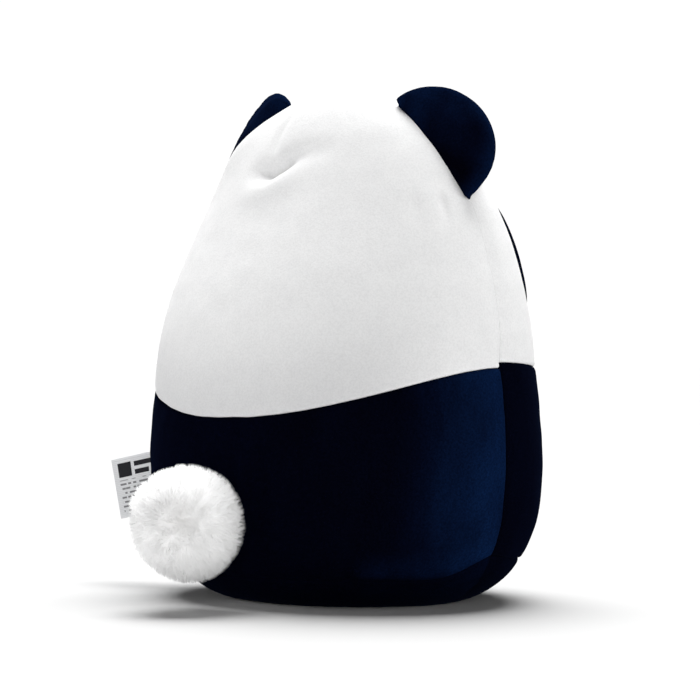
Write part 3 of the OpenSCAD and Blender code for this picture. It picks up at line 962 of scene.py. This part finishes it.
def ear_filling(name, front, back, side):
    """The stuffing between an ear's two sheets."""
    middle = (front + back) / 2
    half = EAR_COLUMNS // 2
    core = middle[:, half - 1:half + 1].mean(axis=(0, 1))
    leaf = middle + EAR_FILL_INSET * (core - middle)
    loop = np.concatenate([leaf + EAR_FILL * (front - middle), (leaf + EAR_FILL * (back - middle))[-2::-1]])
    loop = loop.transpose(1, 0, 2)[4:-4] * [side, 1, 1]
    rows, columns = loop.shape[:2]
    ring = np.arange(columns)
    faces = grid_faces(rows, columns, wrap=True).tolist()
    faces += [ring.tolist(), (ring[::-1] + (rows - 1) * columns).tolist()]
    if side == 1:
        faces = [face[::-1] for face in faces]
    return mesh_object(name, loop.reshape(-1, 3), faces, "fibre_fill")


def build_ear(side, word):
    """An ear: its two sheets, the thread along its rim and its stuffing."""
    lean, raised, reach = EAR_LEAN[word], EAR_RAISE[word], EAR_REACH[word]
    sheets = {"front": ear_sheet(True, lean, raised, reach), "back": ear_sheet(False, lean, raised, reach)}
    rim = (sheets["front"][-1] + sheets["back"][-1]) / 2
    mirror = np.array([side, 1, 1])

    def join(piece, slot, node):
        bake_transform(piece)
        register(piece, slot, node)

    for part, grid in sheets.items():
        node = f"{word}_ear_{part}"
        grid = grid * mirror
        if (part == "front") == (side == 1):
            grid = grid[:, ::-1]
        piece = shell_mesh(named(node), grid, EAR_FABRIC, "navy_plush")
        paint_ear(piece, rim * mirror)
        join(piece, "navy_plush", node)
    node = f"{word}_ear_thread"
    points, faces = tube_mesh([((rim - 0.5 * MM * unit(rim - ear_fold)) * mirror)[3:-3]], 0.3 * MM)
    join(mesh_object(named(node), points, faces, "navy_thread"), "navy_thread", node)
    node = f"{word}_ear_stuffing"
    join(ear_filling(named(node), sheets["front"], sheets["back"], side), "fibre_fill", node)


SIDES = ((1, "left"), (-1, "right"))
for side, word in SIDES:
    build_ear(side, word)

# ---------------------------------------------------------------- face


RIDGE = 0.42 * MM           # from one satin stitch to the next


def patch(x, z, half_x, half_z, tilt, low, thick, rim, rings=14, steps=72, ridges=0.0):
    """Points and faces of a soft oval on the face: rim high at its edge, and thick in the middle."""
    turn = np.linspace(0, 2 * math.pi, steps, endpoint=False)
    share = np.concatenate([np.linspace(0, 0.9, rings), [0.94, 0.97, 0.99, 1.0, 1.0, 0.96]])
    cos, sin = math.cos(math.radians(tilt)), math.sin(math.radians(tilt))
    points = []
    for number, r in enumerate(share):
        under = number >= len(share) - 2
        for t in turn:
            a, b = half_x * r * math.cos(t), half_z * r * math.sin(t)
            height = z + a * sin + b * cos
            place, normal = on_face(x + a * cos - b * sin, height)
            lift = low if under else low + rim + (thick - rim) * math.sqrt(max(0.0, 1 - r**2.6))
            if r == 1.0 and not under:
                lift = low + 0.4 * rim
            if ridges and not under:
                lift += ridges * math.sin(2 * math.pi * height / RIDGE)
            points.append(place + lift * normal)
    faces = [face[::-1] for face in grid_faces(len(share), steps, wrap=True).tolist()]
    faces.append(list(range((len(share) - 1) * steps, len(share) * steps)))
    return points, faces


def face_piece(name, slot, *numbers, **options):
    """A patch on the face as a piece, in place of a CAD node."""
    points, faces = patch(*numbers, **options)
    return place_piece(mesh_object(named(name), points, faces, slot, weld=0.01 * MM), "body", slot, name)


for side, word in SIDES:
    eye = face_piece(f"{word}_eye_patch", "navy_plush", side * 42 * MM, 131 * MM, 19.3 * MM, 24.6 * MM,
                     side * 16, -0.7 * MM, 2.7 * MM, 1.7 * MM)
    paint(eye, np.full(len(eye.data.vertices), 0.15))
    face_piece(f"{word}_eye_white", "white_embroidery", side * 37 * MM, 131 * MM, 6.6 * MM, 7.2 * MM,
               0, 1.6 * MM, 1.15 * MM, 0.7 * MM, ridges=0.04 * MM)
    face_piece(f"{word}_pupil", "dark_embroidery", side * 36.5 * MM, 130.6 * MM, 5 * MM, 5.6 * MM,
               0, 2.4 * MM, 0.85 * MM, 0.5 * MM, ridges=0.04 * MM)
face_piece("nose", "dark_embroidery", 0.0, 119 * MM, 6.5 * MM, 4.3 * MM,
           0, -0.6 * MM, 2.0 * MM, 1.1 * MM, ridges=0.04 * MM)


def mouth_path():
    """A small smile under the nose."""
    turn = np.radians(np.arange(196, 345, 4))
    path = []
    for t in turn:
        place, normal = on_face(5 * MM * math.cos(t), (112.5 + 3.2 * math.sin(t)) * MM)
        path.append(place + 0.1 * MM * normal)
    return np.array(path)


thread_piece("mouth", [mouth_path()], 0.55 * MM, "dark_embroidery")

# ---------------------------------------------------------------- tail

knot = np.array(joint("tail_swing")["pos_m"])
tail_centre = knot + [0.4 * MM, 16.8 * MM, -0.7 * MM]
TAIL_RADIUS = 19.9 * MM
TAIL_SKIN = 19.2 * MM
TAIL_LIFT = math.radians(12)
WHORL = unit([-0.64, 0.76, 0.10])  # where the pile parts
FLAT_SIDE = unit([0.58, 0.54, -0.60])
TUFTS = 420
# How much a strand's lean follows the comb, its tuft's place, its tuft's lean and chance
COMBED, GATHERED, TUFT_LEAN, STRAY = 0.75, 1.1, 0.5, 0.2
STRAND = np.array([0.0, 0.4, 0.75, 1.0])   # where a strand's ribbon has its points, from root to tip
STRAND_WIDTH = [1.0, 0.9, 0.6]             # share of its width at each of them but the tip
STRAND_POINTS = 7
# Layers of pile: piece, strands, root, tip, width, how ragged its tips are, seed, CAD nodes replaced
PILE = [
    ("tail_fur_under", 36000, 18.8 * MM, TAIL_RADIUS, 0.24 * MM, 0.04, 11, ["tail_fur"]),
    ("tail_fur_tips", 18000, 18.6 * MM, TAIL_RADIUS + 2.7 * MM, 0.2 * MM, 0.15, 12, []),
]


def fur_ball_size(normal):
    """Share of the ball's radius in each direction: it is lumpy, and flat low on its left."""
    return 1 + 0.02 * noise_at(normal, 0.5, 4.0) - 0.085 * smoothstep(normal @ FLAT_SIDE, 0.45, 0.95)


def clear_of_body(points):
    """Which points stay outside the body, whichever way the tail is lifted."""
    clear = points[:, 1] > tail_centre[1] - 0.66 * TAIL_RADIUS
    for lift in (-TAIL_LIFT, 0, TAIL_LIFT):
        y, z = (points - knot)[:, 1:].T
        turned = np.stack([points[:, 0] - knot[0], y * math.cos(lift) - z * math.sin(lift),
                           y * math.sin(lift) + z * math.cos(lift)], axis=-1) + knot
        outside = np.linalg.norm(turned - CENTRE, axis=1)
        clear &= outside > np.linalg.norm(on_form(unit(turned - CENTRE), form) - CENTRE, axis=1) + 1 * MM
    return clear


def fur_strands(name, count, root, tip, width, ragged, seed):
    """Tapered strands from a ball, combed away from the whorl and gathered into tufts. Also how far
    from the whorl, and how far along its strand, each of their points is."""
    rng = np.random.default_rng(seed)
    normal = unit(rng.normal(size=(count * 2, 3)))
    normal = normal[clear_of_body(tail_centre + tip * normal)][:count]
    count = len(normal)
    tufts = unit(rng.normal(size=(TUFTS, 3)))
    nearest = np.argmax(normal @ tufts.T, axis=1)
    tuft_lean = unit(rng.normal(size=tufts.shape))[nearest]
    from_whorl = np.arccos(np.clip(normal @ WHORL, -1, 1))
    comb = unit(-(WHORL - (normal @ WHORL)[:, None] * normal))
    sweep = smoothstep(from_whorl, 0.0, 1.1)
    lean = unit(normal + (COMBED * sweep)[:, None] * comb + GATHERED * (tufts[nearest] - normal)
                + TUFT_LEAN * tuft_lean + STRAY * rng.normal(size=normal.shape))
    start = tail_centre + root * normal * fur_ball_size(normal)[:, None]
    reach = start + (tip - root) * 1.5 * lean
    # Whichever way a strand leans, its tip ends near the outside of the ball.
    away = unit(reach - tail_centre)
    wanted = tip * fur_ball_size(away) * (1 - ragged * rng.random(count) ** 1.6)
    reach = tail_centre + away * wanted[:, None]
    bend = 0.5 * (start + reach) + (0.22 * (tip - root)) * normal
    spine = [(1 - t) ** 2 * start + 2 * t * (1 - t) * bend + t**2 * reach for t in STRAND]
    # Each strand is a ribbon whose flat side looks outwards.
    along = unit(reach - start)
    side = unit(unit(np.cross(along, normal)) + 0.2 * rng.normal(size=normal.shape))
    facing = np.cross(side, along)
    side *= np.sign((facing * normal).sum(axis=1, keepdims=True))
    points = []
    for middle, share in zip(spine, STRAND_WIDTH):
        half = 0.5 * width * share * side
        points += [middle + half, middle - half]
    points.append(spine[-1])
    points = np.stack(points, axis=1).reshape(-1, 3)
    index = np.arange(count)[:, None] * STRAND_POINTS
    squares = np.concatenate([index + [0, 2, 3, 1], index + [2, 4, 5, 3]])
    tips = index + [4, 6, 5]
    piece = mesh_object(name, points, squares.tolist() + tips.tolist(), "white_fur")
    # The pile is shaded as one soft ball.
    own = unit(rng.normal(size=tuft_lean.shape))
    soft = unit(unit(points - tail_centre) + np.repeat(0.2 * tuft_lean + 0.3 * own, STRAND_POINTS, axis=0))
    piece.data.normals_split_custom_set_from_vertices(soft.tolist())
    share = np.append(np.repeat(STRAND[:-1], 2), STRAND[-1])
    return piece, np.repeat(from_whorl, STRAND_POINTS), np.tile(share, count)


def build_tail():
    """The pompom: a skin, and the pile that grows over it. The knot and the core are the CAD's."""
    skin_points, skin_faces, _ = ball(5)
    skin_radius = TAIL_SKIN * fur_ball_size(skin_points) + 0.8 * MM * noise_at(skin_points * MM, 0.3 * MM)
    skin_radius *= 1 - 0.22 * smoothstep(-skin_points[:, 1], 0.55, 0.9)
    skin = mesh_object("tail_skin", tail_centre + skin_radius[:, None] * skin_points, skin_faces, "white_fur")
    # Painted shade: the skin under the pile is painted a little darker and beige.
    paint(skin, np.full(len(skin_points), 0.1))
    place_piece(skin, "tail", "white_fur")
    for *strands, nodes in PILE:
        piece, from_whorl, share = fur_strands(*strands)
        # Painted shade: the parting at the whorl and the roots are painted darker and beige.
        parting_shade = np.exp(-((from_whorl / 0.25) ** 2)) * (1 - 0.4 * share)
        paint(piece, 0.3 * parting_shade + 0.04 * (1 - share))
        place_piece(piece, "tail", "white_fur", *nodes)
    for node, slot in (("tail_stitch", "white_thread"), ("tail_stuffing", "fibre_fill")):
        mesh = frame["nodes"][node].data
        mesh.materials.clear()
        mesh.materials.append(FINISHES[slot])


build_tail()

# ---------------------------------------------------------------- label

label_hinge = np.array(joint("label_flip")["pos_m"])
LABEL_GAP = 0.32 * MM       # half the gap between its layers, before they open and close
LABEL_DROOP = math.radians(12)
LABEL_SWING = math.radians(20)


def ribbon_rows():
    """The rows along a folded ribbon: how far out each is, how far round the fold, and its layer."""
    out = np.linspace(0, 1, 44)
    fold = np.linspace(-math.pi / 2, math.pi / 2, 9)[1:-1]
    rows = [(share, 0.0, 1.0) for share in out]
    rows += [(1.0, math.cos(turn), -math.sin(turn)) for turn in fold]
    return rows + [(share, 0.0, -1.0) for share in out[::-1]]


def build_label():
    """A satin ribbon folded in two. Both ends are sewn into the left side seam."""
    share, around, layer = np.array(ribbon_rows()).T[..., None]
    across = np.linspace(0, LABEL_WIDTH, 16)
    side = across - LABEL_WIDTH / 2
    # The ribbon droops, and its sewn end is cut along the upright seam.
    first = -side * math.tan(LABEL_DROOP) - 1.5 * MM
    along = first + (LABEL_LENGTH - first) * share + LABEL_GAP * around
    flat_x = along * math.cos(LABEL_DROOP) + side * math.sin(LABEL_DROOP)
    flat_z = -along * math.sin(LABEL_DROOP) + side * math.cos(LABEL_DROOP)
    wave = 0.9 * MM * np.sin(2.6 * share + 0.5) * share
    wave = wave + 0.5 * MM * share * np.sin(90 * side) * np.cos(3 * share)
    thick = wave + LABEL_GAP * layer * (0.55 + 0.6 * smoothstep(share, 0.0, 0.7) * (1 - 0.5 * share))
    cos, sin = math.cos(LABEL_SWING), math.sin(LABEL_SWING)
    grid = np.stack([flat_x * cos - thick * sin, flat_x * sin + thick * cos, flat_z], axis=-1) + label_hinge
    piece = shell_mesh(named("care_label"), grid, 0.16 * MM, "satin_ribbon")
    uvs = np.stack(np.broadcast_arrays(LABEL_LENGTH * share, across), axis=-1).reshape(-1, 2)
    corner = np.empty(len(piece.data.loops), int)
    piece.data.loops.foreach_get("vertex_index", corner)
    layer = piece.data.uv_layers.new(name="UVMap")
    layer.data.foreach_set("uv", np.concatenate([uvs, uvs])[corner].ravel())
    place_piece(piece, "label", "satin_ribbon", "care_label")


build_label()

# ---------------------------------------------------------------- stage, light and camera


FLOOR_SIZE = 24.0
FLOOR_GREY = 0.63
ROOM_LIGHT = 0.05
BACKDROP = 1.05


def build_stage():
    """The floor, and a room that looks white but gives little light."""
    half = FLOOR_SIZE / 2
    floor = mesh_object("floor", [(-half, -half, 0), (half, -half, 0), (half, half, 0), (-half, half, 0)],
                        [(0, 1, 2, 3)])
    material, add = new_material("floor")
    finish_material(add, (FLOOR_GREY,) * 3, roughness=0.9, specular=0.1)
    floor.data.materials.append(material)
    world = bpy.data.worlds.new("studio")
    bpy.context.scene.world = world
    world.use_nodes = True
    add = emptied(world.node_tree)
    room, backdrop = [
        add("ShaderNodeBackground", {"Color": (1, 1, 1, 1), "Strength": strength}).outputs["Background"]
        for strength in (ROOM_LIGHT, BACKDROP)
    ]
    seen = add("ShaderNodeLightPath").outputs["Is Camera Ray"]
    choice = add("ShaderNodeMixShader", {"Fac": seen, 1: room, 2: backdrop})
    add("ShaderNodeOutputWorld", {"Surface": choice.outputs["Shader"]})


def sun(name, turn, height, strength, width):
    """A broad soft light. turn is its direction from the camera towards the camera's right,
    height is above the floor, and width is how wide it looks, all in degrees."""
    turn, height = math.radians(turn), math.radians(height)
    level = math.cos(turn) * toward_camera + math.sin(turn) * camera_right
    toward = math.cos(height) * level + math.sin(height) * UP
    light = bpy.data.lights.new(name, "SUN")
    light.energy = strength
    light.angle = math.radians(width)
    piece = bpy.data.objects.new(name, light)
    piece.rotation_euler = Vector(toward).to_track_quat("Z", "Y").to_euler()
    bpy.context.scene.collection.objects.link(piece)


CAMERA_TURN = math.radians(43)     # the camera's place, turned from the back towards the right
CAMERA_DISTANCE = 1.0
toward_camera = np.array([-math.sin(CAMERA_TURN), math.cos(CAMERA_TURN), 0.0])
camera_right = np.array([-math.cos(CAMERA_TURN), -math.sin(CAMERA_TURN), 0.0])


def build_camera():
    """A level camera. Its lens and place frame the toy as in the photo."""
    data = bpy.data.cameras.new("camera")
    data.lens = 131.2
    data.sensor_width = 36
    camera = bpy.data.objects.new("camera", data)
    camera.location = toward_camera * CAMERA_DISTANCE + camera_right * 2.155 * MM + UP * 96.4 * MM
    camera.rotation_euler = (math.pi / 2, 0, math.pi + CAMERA_TURN)
    bpy.context.scene.collection.objects.link(camera)
    bpy.context.scene.camera = camera


build_stage()
sun("top_light", 174, 70, 5.05, 48)
sun("fill_light", 0, 8, 1.17, 32)
sun("right_light", 82, 6, 0.95, 36)
sun("left_light", -98, 12, 0.72, 36)
build_camera()
bpy.context.scene.view_settings.view_transform = "Standard"
